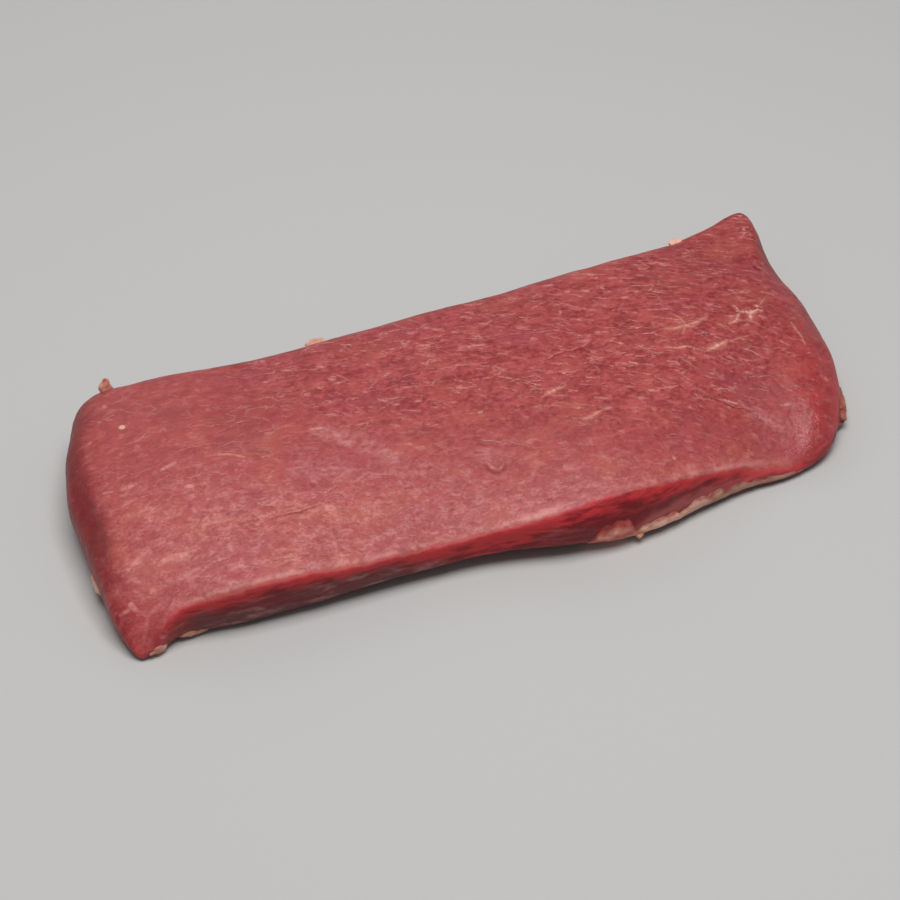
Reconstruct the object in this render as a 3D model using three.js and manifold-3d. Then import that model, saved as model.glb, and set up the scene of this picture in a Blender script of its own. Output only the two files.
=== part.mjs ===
// Boneless lamb loin: one slab of raw meat lying flat on its underside.
// Millimetres, +Z up. X runs along the loin and its front long side faces -Y.
// The origin is under the middle of the slab, on the surface it lies on.

import * as THREE from 'three';
import { mergeVertices } from 'three/addons/utils/BufferGeometryUtils.js';
import Module from 'manifold-3d';

const { clamp, lerp, smoothstep } = THREE.MathUtils;

// Outline from above at the widest level, anticlockwise from the front left tip
const FRONT_EDGE = [
  [-100.8, -47.9], [-95.5, -47.3], [-89, -45.3], [-71, -47], [-45, -46.5], [-15, -46.5],
  [8, -51], [26, -52], [48, -47], [60, -44.3], [75, -43],
];
const RIGHT_END = [[86.5, -38.5], [95.5, -26.5], [103, -8], [106, 13], [106, 33], [107, 46]];
const BACK_EDGE = [[104, 53.5], [89.5, 52], [66, 46.5], [30, 43], [-18, 37.5], [-58, 36.5], [-80, 37.5]];
const LEFT_END = [[-94.5, 36], [-102, 20], [-106, 2], [-106, -18], [-105, -36], [-103.5, -43.6]];

// Top surface: its height at the ridge, and how far it falls towards each side
const THICKNESS = 21;
const RIDGE = { y: 8, slant: 0.02 };
const FRONT_FALL = { drop: 6, span: 54 };
const BACK_FALL = { drop: 2.5, span: 30 };

// The front edge falls further along its left half, and most where the right end thins out
const FRONT_DROPS = [
  { x: -46, halfLength: 22, drop: 2.5 },
  { x: -20, halfLength: 22, drop: 3 },
  { x: 22, halfLength: 18, drop: -1 },
  { x: 42, halfLength: 14, drop: 1.5 },
  { x: 70, halfLength: 20, drop: 11 },
];
const LEFT_FALL = { drop: 2, start: -70, end: -108 };
const RIGHT_FALL = { drop: 4.5, start: 55, end: 108 };

// The thin front left corner droops, and the back right corner is lifted
const CORNERS = [
  { x: -100.5, y: -48.5, radius: 34, rise: -11.2, power: 3 },
  { x: 104, y: 52, radius: 26, rise: 7, power: 1.4 },
];

// Shallow waves of the soft top: wavelengths along X and Y, height and phase
const SWELLS = [
  { alongX: 88, alongY: 130, height: 0.3, phase: 0.6 },
  { alongX: -61, alongY: 47, height: 0.25, phase: 2.1 },
  { alongX: 34, alongY: -72, height: 0.15, phase: 4.0 },
];

// A small dimple in the front half of the top
const DIMPLE = { x: -4, y: -29, radius: 5, depth: 0.7 };

// Rim of each side: width of the rolled top edge, its squareness, inset of the foot,
// and the level of the widest line as a share of the height there
const RIMS = {
  front: { roll: 2.6, square: 3.6, foot: 3, waist: 0.45 },
  right: { roll: 22, square: 2.1, foot: 5, waist: 0.3 },
  back: { roll: 9, square: 2.4, foot: 4, waist: 0.5 },
  left: { roll: 13, square: 2.6, foot: 3.5, waist: 0.5 },
};

// Places where the top edge has its own roll: both corners, the leaning cut face, and the thin front right
const ROLLS = [
  { x: -101, y: -48, radius: 8, roll: 5, square: 2.2 },
  { x: 104, y: 52, radius: 14, roll: 5, square: 2.3 },
  { x: 24, y: -52, radius: 20, roll: 4.3, square: 1.4 },
  { x: 45, y: -48, radius: 14, roll: 4.5, square: 2 },
  { x: 66, y: -44, radius: 12, roll: 5, square: 2.2 },
];

// The front edge is undercut at its middle, where it stands clear of the surface below
const UNDERCUT = { x: -12, halfLength: 34, inset: 4, lift: 2.2 };
const FOOT_LIFT = 0.6;
const FLAT_SHARE = 0.7;

// A crease runs down the left end
const LEFT_CREASE = { y: -12, halfLength: 22, angle: 0.7, halfAngle: 0.32, depth: 1.8 };

// The cut face above the fat is hollow
const HOLLOW = { x: 46, halfLength: 34, level: 7.5, halfHeight: 4.5, depth: 2 };

// Layer of fat that shows as a ribbon along the foot of the front edge, fullest and highest near its left end
const FAT_RIBBON = {
  start: 24, end: 86, inset: 2.3, level: 1.9, climb: 1.6, halfHeight: 2.3, halfWidth: 1.7, lean: 0.37,
};
const FAT_RIBBON_STEPS = 26;
const FAT_RIBBON_SIDES = 8;

// Flaps and scraps of fat left on the rim: centre, half lengths along X, Y and Z, and turn about Z
const FAT_SCRAPS = [
  { at: [-88.5, 35.5, 16.5], half: [1.3, 1.6, 3.6], turn: 0 },
  { at: [-30.5, 34.5, 17], half: [3, 1.6, 1], turn: 0 },
  { at: [81, 47.2, 14.7], half: [2.6, 1.6, 1.2], turn: 0.3 },
  { at: [-104.8, -23, 5], half: [1.5, 4.5, 1.6], turn: 0 },
  { at: [-96.5, -46, 1.9], half: [3, 1.6, 1.1], turn: 0.5 },
  { at: [-86.5, -43.8, 2], half: [3.4, 1.5, 1.2], turn: -0.1 },
  { at: [97.6, -21.5, 2.6], half: [2.2, 8.5, 2], turn: -0.38 },
  { at: [19.5, -49.5, 4.4], half: [8, 2.1, 3.4], turn: -0.06 },
  { at: [26.6, -50, 2.2], half: [1.7, 1.1, 0.8], turn: 0.9 },
];

// Line in the middle that the mesh closes in on
const SPINE_LEFT = new THREE.Vector2(-64, -5);
const SPINE_RIGHT = new THREE.Vector2(64, 0);
const END_MARGIN = 1;

// Mesh divisions: rays along the spine, steps between outline points, and rows from the bottom to the top
const SPINE_STATIONS = 36;
const CURVE_STEPS = 4;
const BOTTOM_ROWS = 4;
const UNDER_ROWS = 5;
const ROLL_ROWS = 9;
const TOP_ROWS = 9;

const MEAT_COLOUR = 0xa85353;

const OUTLINE = outlinePoints();

// Closed smooth curve through the outline's points, as short straight steps
function outlinePoints() {
  const corners = [...FRONT_EDGE, ...RIGHT_END, ...BACK_EDGE, ...LEFT_END];
  const points = corners.map(([x, y]) => new THREE.Vector3(x, y, 0));
  const curve = new THREE.CatmullRomCurve3(points, true, 'catmullrom', 0.5);
  const steps = curve.getPoints(points.length * CURVE_STEPS).slice(1);
  return steps.map((point) => new THREE.Vector2(point.x, point.y));
}

function bell(distance, width) {
  return Math.exp(-((distance / width) ** 2));
}

// Height of the top surface, before it rolls over at the rim
function topHeight(x, y) {
  const ridge = RIDGE.y + RIDGE.slant * x;
  const forward = Math.max(0, (ridge - y) / FRONT_FALL.span);
  const backward = Math.max(0, (y - ridge) / BACK_FALL.span);
  let drop = FRONT_FALL.drop;
  for (const place of FRONT_DROPS) {
    drop += place.drop * bell(x - place.x, place.halfLength);
  }
  let height = THICKNESS - drop * forward ** 2 - BACK_FALL.drop * backward ** 2;
  height -= LEFT_FALL.drop * smoothstep(-x, -LEFT_FALL.start, -LEFT_FALL.end);
  height -= RIGHT_FALL.drop * smoothstep(x, RIGHT_FALL.start, RIGHT_FALL.end);
  for (const corner of CORNERS) {
    const near = Math.max(0, 1 - Math.hypot(x - corner.x, y - corner.y) / corner.radius);
    height += corner.rise * near ** corner.power;
  }
  for (const swell of SWELLS) {
    height += swell.height * Math.sin(2 * Math.PI * (x / swell.alongX + y / swell.alongY) + swell.phase);
  }
  return height - DIMPLE.depth * bell(Math.hypot(x - DIMPLE.x, y - DIMPLE.y), DIMPLE.radius);
}

// Where a straight line from a point inside crosses the outline
function crossOutline(origin, direction) {
  for (let i = 0; i < OUTLINE.length; i += 1) {
    const start = OUTLINE[i].clone().sub(origin);
    const side = OUTLINE[(i + 1) % OUTLINE.length].clone().sub(OUTLINE[i]);
    const turn = direction.cross(side);
    const reach = start.cross(side) / turn;
    const share = start.cross(direction) / turn;
    if (reach > 0 && share >= 0 && share < 1) {
      return origin.clone().addScaledVector(direction, reach);
    }
  }
  throw new Error('The outline is open');
}

// Rays across the slab from evenly spaced points of the spine, to the front (-1) or the back (1)
function sideRays(facing) {
  const direction = new THREE.Vector2(0, facing);
  const rays = [];
  for (let i = 0; i < SPINE_STATIONS; i += 1) {
    const root = SPINE_LEFT.clone().lerp(SPINE_RIGHT, i / (SPINE_STATIONS - 1));
    rays.push({ root, rim: crossOutline(root, direction) });
  }
  return rays;
}

// Rays from an end of the spine to each outline point beyond it, on the right (1) or the left (-1)
function endRays(root, facing) {
  const angle = (rim) => Math.atan2(facing * (rim.y - root.y), facing * (rim.x - root.x));
  const beyond = OUTLINE.filter((rim) => facing * (rim.x - root.x) > END_MARGIN);
  return beyond.sort((a, b) => angle(a) - angle(b)).map((rim) => ({ root, rim }));
}

// All rays from the spine to the outline, once round anticlockwise from the front left
function castRays() {
  return [
    ...sideRays(-1),
    ...endRays(SPINE_RIGHT, 1),
    ...sideRays(1).reverse(),
    ...endRays(SPINE_LEFT, -1),
  ];
}

// Gives each ray the rim values of the sides that its piece of outline faces
function addRims(rays) {
  rays.forEach((ray, i) => {
    const next = rays[(i + 1) % rays.length].rim;
    const last = rays[(i + rays.length - 1) % rays.length].rim;
    const along = next.clone().sub(last).normalize();
    const facing = { x: along.y, y: -along.x };
    const share = {
      front: Math.max(0, -facing.y) ** 2,
      back: Math.max(0, facing.y) ** 2,
      left: Math.max(0, -facing.x) ** 2,
      right: Math.max(0, facing.x) ** 2,
    };
    const sides = Object.keys(RIMS);
    const blend = (value) => sides.reduce((sum, side) => sum + share[side] * RIMS[side][value], 0);
    const { x, y } = ray.rim;
    const undercut = share.front * bell(x - UNDERCUT.x, UNDERCUT.halfLength);
    ray.length = ray.rim.distanceTo(ray.root);
    ray.roll = blend('roll');
    ray.square = blend('square');
    for (const place of ROLLS) {
      const near = bell(Math.hypot(x - place.x, y - place.y), place.radius);
      ray.roll = lerp(ray.roll, place.roll, near);
      ray.square = lerp(ray.square, place.square, near);
    }
    ray.height = topHeight(x, y);
    ray.foot = blend('foot') + UNDERCUT.inset * undercut;
    ray.lift = FOOT_LIFT + UNDERCUT.lift * undercut;
    ray.waist = blend('waist') * ray.height;
    ray.crease = LEFT_CREASE.depth * share.left * bell(y - LEFT_CREASE.y, LEFT_CREASE.halfLength);
    ray.hollow = HOLLOW.depth * share.front * bell(x - HOLLOW.x, HOLLOW.halfLength);
  });
}

// Plan position on a ray at a distance in from the rim
function inset(ray, distance) {
  return ray.root.clone().lerp(ray.rim, clamp(1 - distance / ray.length, 0, 1));
}

function bottomPoint(ray, share) {
  const { x, y } = inset(ray, lerp(ray.length, ray.foot, share));
  return [x, y, ray.lift * smoothstep(share, FLAT_SHARE, 1)];
}

function underPoint(ray, angle) {
  const z = lerp(ray.waist, ray.lift, Math.sin(angle));
  const hollow = ray.hollow * bell(z - HOLLOW.level, HOLLOW.halfHeight);
  const { x, y } = inset(ray, ray.foot * (1 - Math.cos(angle)) + hollow);
  return [x, y, z];
}

function rollPoint(ray, angle) {
  const power = 2 / ray.square;
  const crease = ray.crease * bell(angle - LEFT_CREASE.angle, LEFT_CREASE.halfAngle);
  const level = lerp(ray.waist, ray.height, Math.sin(angle) ** power);
  const hollow = ray.hollow * bell(level - HOLLOW.level, HOLLOW.halfHeight) * Math.cos(angle);
  const { x, y } = inset(ray, ray.roll * (1 - Math.cos(angle) ** power) + crease + hollow);
  return [x, y, lerp(ray.waist, topHeight(x, y), Math.sin(angle) ** power)];
}

function topPoint(ray, share) {
  const { x, y } = inset(ray, lerp(ray.roll, ray.length, share));
  return [x, y, topHeight(x, y)];
}

// Closed mesh of rings, each a list of as many points, from the bottom's middle to the top's middle
function ringMesh(rings) {
  const count = rings[0].length;
  const indices = [];
  for (let row = 0; row + 1 < rings.length; row += 1) {
    for (let i = 0; i < count; i += 1) {
      const a = row * count + i;
      const b = row * count + ((i + 1) % count);
      indices.push(a, b, b + count, a, b + count, a + count);
    }
  }
  const geometry = new THREE.BufferGeometry();
  geometry.setAttribute('position', new THREE.Float32BufferAttribute(rings.flat(2), 3));
  geometry.setIndex(indices);
  return geometry;
}

function slab() {
  const rays = castRays();
  addRims(rays);
  const rings = [];
  const addRing = (point, value) => rings.push(rays.map((ray) => point(ray, value)));
  for (let i = 0; i < BOTTOM_ROWS; i += 1) {
    addRing(bottomPoint, i / BOTTOM_ROWS);
  }
  for (let i = 0; i < UNDER_ROWS; i += 1) {
    addRing(underPoint, (Math.PI / 2) * (1 - i / UNDER_ROWS));
  }
  for (let i = 0; i < ROLL_ROWS; i += 1) {
    addRing(rollPoint, (Math.PI / 2) * (i / ROLL_ROWS));
  }
  for (let i = 0; i <= TOP_ROWS; i += 1) {
    addRing(topPoint, i / TOP_ROWS);
  }
  return ringMesh(rings);
}

// Spindle of fat that follows the foot of the front edge and tapers to a point at both ends
function fatRibbon() {
  const rings = [];
  for (let i = 0; i <= FAT_RIBBON_STEPS; i += 1) {
    const share = i / FAT_RIBBON_STEPS;
    const x = lerp(FAT_RIBBON.start, FAT_RIBBON.end, share);
    const y = crossOutline(new THREE.Vector2(x, 0), new THREE.Vector2(0, -1)).y + FAT_RIBBON.inset;
    const fullness = Math.sin(Math.PI * share ** FAT_RIBBON.lean);
    const ring = [];
    for (let j = 0; j < FAT_RIBBON_SIDES; j += 1) {
      const angle = (-2 * Math.PI * j) / FAT_RIBBON_SIDES;
      const out = FAT_RIBBON.halfWidth * fullness * Math.cos(angle);
      const up = FAT_RIBBON.halfHeight * fullness * Math.sin(angle);
      ring.push([x, y - out, FAT_RIBBON.level + FAT_RIBBON.climb * fullness + up]);
    }
    rings.push(ring);
  }
  return ringMesh(rings);
}

function fatScrap({ at, half, turn }) {
  const geometry = new THREE.SphereGeometry(1, 10, 6);
  geometry.scale(...half);
  geometry.rotateZ(turn);
  geometry.translate(...at);
  return geometry;
}

// Solid of a closed mesh, with shared points merged and triangles that have shrunk to a line left out
function solidOf(wasm, geometry) {
  const bare = new THREE.BufferGeometry();
  bare.setAttribute('position', geometry.getAttribute('position'));
  bare.setIndex(geometry.getIndex());
  const merged = mergeVertices(bare, 1e-4);
  const index = merged.getIndex().array;
  const triangles = [];
  for (let i = 0; i < index.length; i += 3) {
    const [a, b, c] = index.slice(i, i + 3);
    if (a !== b && b !== c && c !== a) {
      triangles.push(a, b, c);
    }
  }
  const vertProperties = new Float32Array(merged.getAttribute('position').array);
  const triVerts = new Uint32Array(triangles);
  return new wasm.Manifold(new wasm.Mesh({ numProp: 3, vertProperties, triVerts }));
}

function geometryOf(solid) {
  const mesh = solid.getMesh();
  const geometry = new THREE.BufferGeometry();
  geometry.setAttribute('position', new THREE.BufferAttribute(mesh.vertProperties, 3));
  geometry.setIndex(new THREE.BufferAttribute(mesh.triVerts, 1));
  return geometry;
}

// Moves the middle of the bottom to the origin
function centred(geometry) {
  geometry.computeBoundingBox();
  const { min, max } = geometry.boundingBox;
  geometry.translate(-(min.x + max.x) / 2, -(min.y + max.y) / 2, -min.z);
  return geometry;
}

const wasm = await Module();
wasm.setup();

const fat = [fatRibbon(), ...FAT_SCRAPS.map(fatScrap)];
const whole = fat.reduce((solid, piece) => solid.add(solidOf(wasm, piece)), solidOf(wasm, slab()));
const geometry = centred(geometryOf(whole));
geometry.computeVertexNormals();

const material = new THREE.MeshStandardMaterial({ color: MEAT_COLOUR, roughness: 0.45, metalness: 0 });
const mesh = new THREE.Mesh(geometry, material);
mesh.name = 'lamb_loin';

const lambLoin = new THREE.Group();
lambLoin.name = 'loin';
lambLoin.add(mesh);

export default lambLoin;
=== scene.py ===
import math
from functools import partialmethod, reduce

import bpy
import numpy as np
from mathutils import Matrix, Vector, noise
from mathutils.bvhtree import BVHTree
from mathutils.kdtree import KDTree


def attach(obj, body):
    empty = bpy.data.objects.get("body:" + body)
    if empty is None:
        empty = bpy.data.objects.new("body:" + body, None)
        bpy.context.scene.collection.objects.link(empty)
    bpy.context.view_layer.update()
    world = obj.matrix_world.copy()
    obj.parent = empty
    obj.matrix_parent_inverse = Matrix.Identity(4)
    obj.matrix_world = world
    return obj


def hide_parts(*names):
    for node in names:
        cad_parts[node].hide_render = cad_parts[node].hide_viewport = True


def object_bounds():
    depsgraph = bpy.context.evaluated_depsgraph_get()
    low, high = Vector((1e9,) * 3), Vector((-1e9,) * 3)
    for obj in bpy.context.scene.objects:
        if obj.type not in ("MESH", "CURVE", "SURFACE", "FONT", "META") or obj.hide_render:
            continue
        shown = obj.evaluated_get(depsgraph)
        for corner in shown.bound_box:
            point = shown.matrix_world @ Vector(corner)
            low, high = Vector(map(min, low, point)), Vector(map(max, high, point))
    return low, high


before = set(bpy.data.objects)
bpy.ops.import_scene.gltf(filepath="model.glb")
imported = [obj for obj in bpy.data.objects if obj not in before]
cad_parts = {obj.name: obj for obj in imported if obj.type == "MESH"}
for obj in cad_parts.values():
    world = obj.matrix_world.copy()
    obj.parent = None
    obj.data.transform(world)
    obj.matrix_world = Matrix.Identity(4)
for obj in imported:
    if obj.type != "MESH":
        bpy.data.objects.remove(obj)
cad_low, cad_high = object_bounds()

MM = 0.001
PHOTO_SIZE = 900

# Form of the slab in millimetres, with the solid's own sizes
# Outline from above at the widest level, anticlockwise from the front left tip
FRONT_EDGE = ((-100.8, -47.9), (-95.5, -47.3), (-89, -45.3), (-71, -47), (-45, -46.5), (-15, -46.5), (8, -51),
              (26, -52), (48, -47), (60, -44.3), (75, -43))
RIGHT_END = ((86.5, -38.5), (95.5, -26.5), (103, -8), (106, 13), (106, 33), (107, 46))
BACK_EDGE = ((104, 53.5), (89.5, 52), (66, 46.5), (30, 43), (-18, 37.5), (-58, 36.5), (-80, 37.5))
LEFT_END = ((-94.5, 36), (-102, 20), (-106, 2), (-106, -18), (-105, -36), (-103.5, -43.6))

# Top surface: its height at the ridge, and how far it falls towards each side
THICKNESS = 21
RIDGE = {"y": 8, "slant": 0.02}
FRONT_FALL = {"drop": 6, "span": 54}
BACK_FALL = {"drop": 2.5, "span": 30}
FRONT_DROPS = (
    {"x": -46, "half_length": 22, "drop": 2.5},
    {"x": -20, "half_length": 22, "drop": 3},
    {"x": 22, "half_length": 18, "drop": -1},
    {"x": 42, "half_length": 14, "drop": 1.5},
    {"x": 70, "half_length": 20, "drop": 11},
)
LEFT_FALL = {"drop": 2, "start": -70, "end": -108}
RIGHT_FALL = {"drop": 4.5, "start": 55, "end": 108}
CORNERS = (
    {"x": -100.5, "y": -48.5, "radius": 34, "rise": -11.2, "power": 3},
    {"x": 104, "y": 52, "radius": 26, "rise": 7, "power": 1.4},
)
SWELLS = ((88, 130, 0.3, 0.6), (-61, 47, 0.25, 2.1), (34, -72, 0.15, 4.0))
DIMPLE = {"x": -4, "y": -29, "radius": 5, "depth": 0.7}

# Rim of each side: roll of the top edge, its squareness, inset of the foot, level of the widest line
RIMS = {
    "front": {"roll": 2.6, "square": 3.6, "foot": 3, "waist": 0.45},
    "right": {"roll": 22, "square": 2.1, "foot": 5, "waist": 0.3},
    "back": {"roll": 9, "square": 2.4, "foot": 4, "waist": 0.5},
    "left": {"roll": 13, "square": 2.6, "foot": 3.5, "waist": 0.5},
}
ROLLS = (
    {"x": -101, "y": -48, "radius": 8, "roll": 5, "square": 2.2},
    {"x": 104, "y": 52, "radius": 14, "roll": 5, "square": 2.3},
    {"x": 24, "y": -52, "radius": 20, "roll": 4.3, "square": 1.4},
    {"x": 45, "y": -48, "radius": 14, "roll": 4.5, "square": 2},
    {"x": 66, "y": -44, "radius": 12, "roll": 5, "square": 2.2},
)
UNDERCUT = {"x": -12, "half_length": 34, "inset": 4, "lift": 2.2}
FOOT_LIFT = 0.6
FLAT_SHARE = 0.7
LEFT_CREASE = {"y": -12, "half_length": 22, "angle": 0.7, "half_angle": 0.32, "depth": 1.8}
HOLLOW = {"x": 46, "half_length": 34, "level": 7.5, "half_height": 4.5, "depth": 2}

# Ribbon of fat and a torn flap on the lower face of the front: from and to along X, how early each is
# fullest, lowest level, height, how far it stands out, how much meat is on it, how much painted shade browns
# its lower edge
FACE_FAT = (
    {"name": "fat_ribbon", "start": 24, "end": 86, "lean": 0.37, "low": 1.6, "height": 4, "out": 0.6,
     "red": 0, "brown": 0.5},
    {"name": "fat_flap", "start": 9, "end": 28, "lean": 1.3, "low": 0.9, "height": 8.4, "out": 0.5,
     "red": 0.75, "brown": 0},
)
# Scraps of fat on the rim, and last a white dot on the top: middle, half sizes, turn from above, how far each
# tapers towards its top, how much red is in it, and how much brown, which is partly painted shade
FAT_SCRAPS = (
    ((-87.7, 35.5, 16.9), (1.8, 1.6, 3.6), 0, 0.8, 0.2, 0.1),
    ((-30.5, 34.5, 17), (3, 1.6, 1), 0, 0, 0.1, 0.1),
    ((81, 47.2, 14.2), (2.4, 1.6, 1.1), 0.3, 0, -0.2, 0),
    ((-104.8, -23, 5), (1.5, 4.5, 1.6), 0, 0, 0.1, 0.2),
    ((-96.3, -46.2, 2), (2.9, 1.6, 1.6), 0.5, 0, 0.45, 0.3),
    ((-87, -44, 2.1), (4.2, 1.3, 1.3), 0.1, 0, 0.4, 0.4),
    ((97.6, -21.5, 2.6), (2.2, 8.5, 2), -0.38, 0, 0.9, 0.5),
    ((26.6, -50, 2.2), (1.7, 1.1, 0.8), 0.9, 0, 0, 0.2),
    ((-88.4, 14, 20.1), (1, 0.8, 0.5), 0.2, 0, -1, 0),
)

# Line in the middle that the mesh closes in on
SPINE_LEFT = np.array((-64.0, -5.0))
SPINE_RIGHT = np.array((64.0, 0.0))
END_MARGIN = 1

# Divisions of the fine mesh
SPINE_STATIONS = 175
CURVE_STEPS = 15
BOTTOM_ROWS = 4
UNDER_ROWS = 12
ROLL_ROWS = 26
TOP_ROWS = 106

# Grain of the meat in the plan: how it falls along X, and how it bends
GRAIN = {"slope": 0.28, "bend": 0.00125}
# How far the noise of one seed lies from the next one's
SEED_STEP = 17.3

# Camera of the photograph: what it looks at, and from where
CAMERA_AIM = np.array((-5.6, -0.7, 0.0))
CAMERA_AZIMUTH = -20.5
CAMERA_ELEVATION = 40
CAMERA_DISTANCE = 560
CAMERA_LENS = 85
CAMERA_SENSOR = 36


def fade(value, start, end):
    """From 0 at start to 1 at end, with soft ends."""
    share = np.clip((value - start) / (end - start), 0, 1)
    return share * share * (3 - 2 * share)


def bell(distance, width):
    return np.exp(-((distance / width) ** 2))


def unit(vectors):
    return vectors / np.linalg.norm(vectors, axis=1)[:, None]


def top_height(x, y):
    """Height of the top surface, before it rolls over at the rim."""
    ridge = RIDGE["y"] + RIDGE["slant"] * x
    forward = np.maximum(0, (ridge - y) / FRONT_FALL["span"])
    backward = np.maximum(0, (y - ridge) / BACK_FALL["span"])
    drop = FRONT_FALL["drop"] + sum(at["drop"] * bell(x - at["x"], at["half_length"]) for at in FRONT_DROPS)
    height = THICKNESS - drop * forward ** 2 - BACK_FALL["drop"] * backward ** 2
    height = height - LEFT_FALL["drop"] * fade(-x, -LEFT_FALL["start"], -LEFT_FALL["end"])
    height = height - RIGHT_FALL["drop"] * fade(x, RIGHT_FALL["start"], RIGHT_FALL["end"])
    for corner in CORNERS:
        near = np.maximum(0, 1 - np.hypot(x - corner["x"], y - corner["y"]) / corner["radius"])
        height = height + corner["rise"] * near ** corner["power"]
    for along_x, along_y, rise, phase in SWELLS:
        height = height + rise * np.sin(2 * math.pi * (x / along_x + y / along_y) + phase)
    return height - DIMPLE["depth"] * bell(np.hypot(x - DIMPLE["x"], y - DIMPLE["y"]), DIMPLE["radius"])


def outline_points():
    """Closed smooth curve through the outline's points, as short straight steps."""
    here = np.array(FRONT_EDGE + RIGHT_END + BACK_EDGE + LEFT_END, float)
    last, following, after = (np.roll(here, step, axis=0)[:, None] for step in (1, -1, -2))
    here = here[:, None]
    share = (np.arange(CURVE_STEPS) / CURVE_STEPS)[None, :, None]
    curve = 2 * here + (following - last) * share
    curve = curve + (2 * last - 5 * here + 4 * following - after) * share ** 2
    curve = curve + (3 * here - last - 3 * following + after) * share ** 3
    return curve.reshape(-1, 2) / 2


OUTLINE = outline_points()


def cross_outline(x, facing):
    """Y where a line across the slab at x leaves the outline at the front (-1) or the back (1)."""
    following = np.roll(OUTLINE, -1, axis=0)
    crossing = (OUTLINE[:, 0] <= x) != (following[:, 0] <= x)
    start, end = OUTLINE[crossing], following[crossing]
    y = start[:, 1] + (x - start[:, 0]) / (end[:, 0] - start[:, 0]) * (end[:, 1] - start[:, 1])
    return facing * max(facing * y)


def side_rays(facing):
    share = np.linspace(0, 1, SPINE_STATIONS)[:, None]
    roots = SPINE_LEFT + (SPINE_RIGHT - SPINE_LEFT) * share
    rims = [(x, cross_outline(x, facing)) for x in roots[:, 0]]
    return roots[::-facing], np.array(rims)[::-facing]


def end_rays(root, facing):
    beyond = OUTLINE[facing * (OUTLINE[:, 0] - root[0]) > END_MARGIN]
    away = facing * (beyond - root)
    order = np.argsort(np.arctan2(away[:, 1], away[:, 0]))
    return np.tile(root, (len(beyond), 1)), beyond[order]


class Rays:
    """Lines from the spine to the outline, once round, with the rim values of the sides they face."""

    def __init__(self):
        parts = (side_rays(-1), end_rays(SPINE_RIGHT, 1), side_rays(1), end_rays(SPINE_LEFT, -1))
        self.root = np.vstack([roots for roots, _ in parts])
        self.rim = np.vstack([rims for _, rims in parts])
        x, y = self.rim.T
        along = unit(np.roll(self.rim, -1, axis=0) - np.roll(self.rim, 1, axis=0))
        self.sides = {
            "front": np.maximum(0, along[:, 0]) ** 2,
            "right": np.maximum(0, along[:, 1]) ** 2,
            "back": np.maximum(0, -along[:, 0]) ** 2,
            "left": np.maximum(0, -along[:, 1]) ** 2,
        }
        undercut = self.sides["front"] * bell(x - UNDERCUT["x"], UNDERCUT["half_length"])
        self.length = np.linalg.norm(self.rim - self.root, axis=1)
        self.height = top_height(x, y)
        self.roll = self.blend("roll")
        self.square = self.blend("square")
        for place in ROLLS:
            near = bell(np.hypot(x - place["x"], y - place["y"]), place["radius"])
            self.roll = self.roll + (place["roll"] - self.roll) * near
            self.square = self.square + (place["square"] - self.square) * near
        self.foot = self.blend("foot") + UNDERCUT["inset"] * undercut
        self.lift = FOOT_LIFT + UNDERCUT["lift"] * undercut
        self.waist = self.blend("waist") * self.height
        self.crease = LEFT_CREASE["depth"] * self.sides["left"]
        self.crease = self.crease * bell(y - LEFT_CREASE["y"], LEFT_CREASE["half_length"])
        self.hollow = HOLLOW["depth"] * self.sides["front"] * bell(x - HOLLOW["x"], HOLLOW["half_length"])

    def blend(self, value):
        return sum(self.sides[side] * RIMS[side][value] for side in RIMS)

    def inset(self, distance):
        share = np.clip(1 - distance / self.length, 0, 1)[:, None]
        return (self.root + (self.rim - self.root) * share).T

    def hollow_at(self, z):
        return self.hollow * bell(z - HOLLOW["level"], HOLLOW["half_height"])


def form_rows():
    """Rings of points from the bottom's middle to the top's middle, and how far each is round the rim.

    The rim value is 2 at the foot and below, 1 at the widest line and 0 where the top begins,
    and falls by 0.1 with each millimetre further in.
    """
    rays = Rays()
    rows = []
    rims = []
    for i in range(BOTTOM_ROWS):
        share = i / BOTTOM_ROWS
        x, y = rays.inset(rays.length + (rays.foot - rays.length) * share)
        rows.append((x, y, rays.lift * fade(share, FLAT_SHARE, 1)))
        rims.append(np.full(len(x), 2.0))
    for i in range(UNDER_ROWS):
        angle = math.pi / 2 * (1 - i / UNDER_ROWS)
        z = rays.waist + (rays.lift - rays.waist) * math.sin(angle)
        x, y = rays.inset(rays.foot * (1 - math.cos(angle)) + rays.hollow_at(z))
        rows.append((x, y, z))
        rims.append(np.full(len(x), 2 - i / UNDER_ROWS))
    for i in range(ROLL_ROWS):
        angle = math.pi / 2 * i / ROLL_ROWS
        rise = math.sin(angle) ** (2 / rays.square)
        distance = rays.roll * (1 - math.cos(angle) ** (2 / rays.square))
        distance = distance + rays.crease * bell(angle - LEFT_CREASE["angle"], LEFT_CREASE["half_angle"])
        distance = distance + rays.hollow_at(rays.waist + (rays.height - rays.waist) * rise) * math.cos(angle)
        x, y = rays.inset(distance)
        rows.append((x, y, rays.waist + (top_height(x, y) - rays.waist) * rise))
        rims.append(np.full(len(x), 1 - i / ROLL_ROWS))
    for i in range(TOP_ROWS + 1):
        beyond = (rays.length - rays.roll) * i / TOP_ROWS
        x, y = rays.inset(rays.roll + beyond)
        rows.append((x, y, top_height(x, y)))
        rims.append(-0.1 * beyond)
    points = np.moveaxis(np.array(rows), 1, 2)
    rim = np.array(rims)
    sides = {side: np.tile(share, (len(rows), 1)) for side, share in rays.sides.items()}
    return points, rim, sides


def field(points, sizes, seed):
    """Smooth noise from about -1 to 1, with features of the given sizes along X, Y and Z."""
    scaled = points / np.array(sizes, float) + seed * SEED_STEP
    return np.array([noise.noise(place) for place in scaled.reshape(-1, 3).tolist()])


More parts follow.
